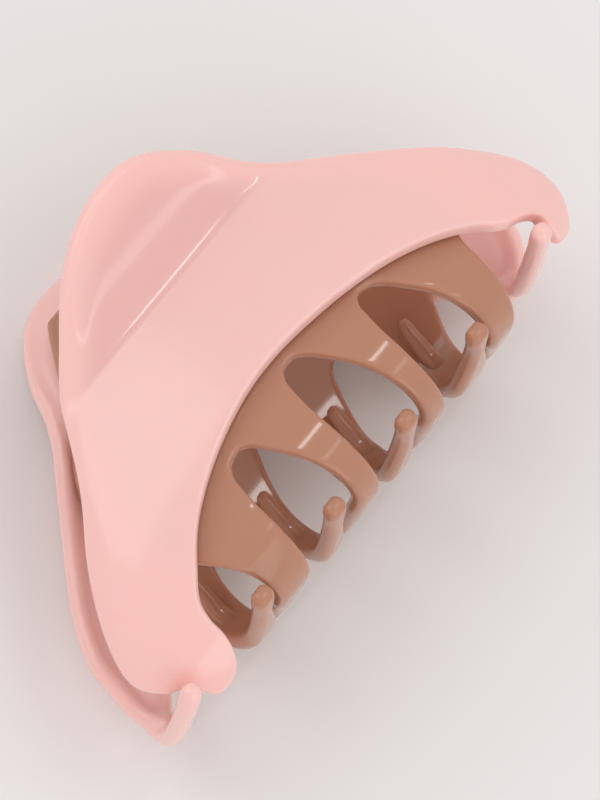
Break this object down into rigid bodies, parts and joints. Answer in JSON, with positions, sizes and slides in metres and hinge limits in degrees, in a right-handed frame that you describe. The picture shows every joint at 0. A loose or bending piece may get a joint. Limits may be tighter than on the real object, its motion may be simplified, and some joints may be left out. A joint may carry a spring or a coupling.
{
  "type": "claw clip",
  "caption": "Two-tone hinged claw hair clip: arched glossy shells with splayed thumb tabs, each lined by a comb of long curled teeth, sprung shut on one pin.",
  "frame": {"origin": "centre of the clip's footprint as it lies on its back jaw, at the surface it lies on", "axes": "+X along the hinge pin, +Y from the teeth to the thumb tabs, +Z from the back jaw up to the front jaw"},
  "size_m": [0.106, 0.0636, 0.0425],
  "materials": {
    "shell_plastic": "high gloss, slightly milky blush pink",
    "comb_plastic": "high gloss, slightly milky warm brown",
    "pin_steel": "plain bright steel",
    "spring_steel": "bright drawn spring wire"
  },
  "bodies": {
    "back_jaw": {"back_shell": "shell_plastic", "back_comb": "comb_plastic", "hinge_pin": "pin_steel", "torsion_spring": "spring_steel"},
    "front_jaw": {"front_shell": "shell_plastic", "front_comb": "comb_plastic"}
  },
  "joints": [
    {"name": "jaw_hinge", "type": "hinge", "parent": "back_jaw", "child": "front_jaw", "pos_m": [0, 0.012, 0.02124], "axis": [-1, 0, 0], "range_deg": [0, 75], "stiffness_Nm_per_rad": 0.25, "springref_deg": -68.75, "deforming": ["torsion_spring"]}
  ]
}
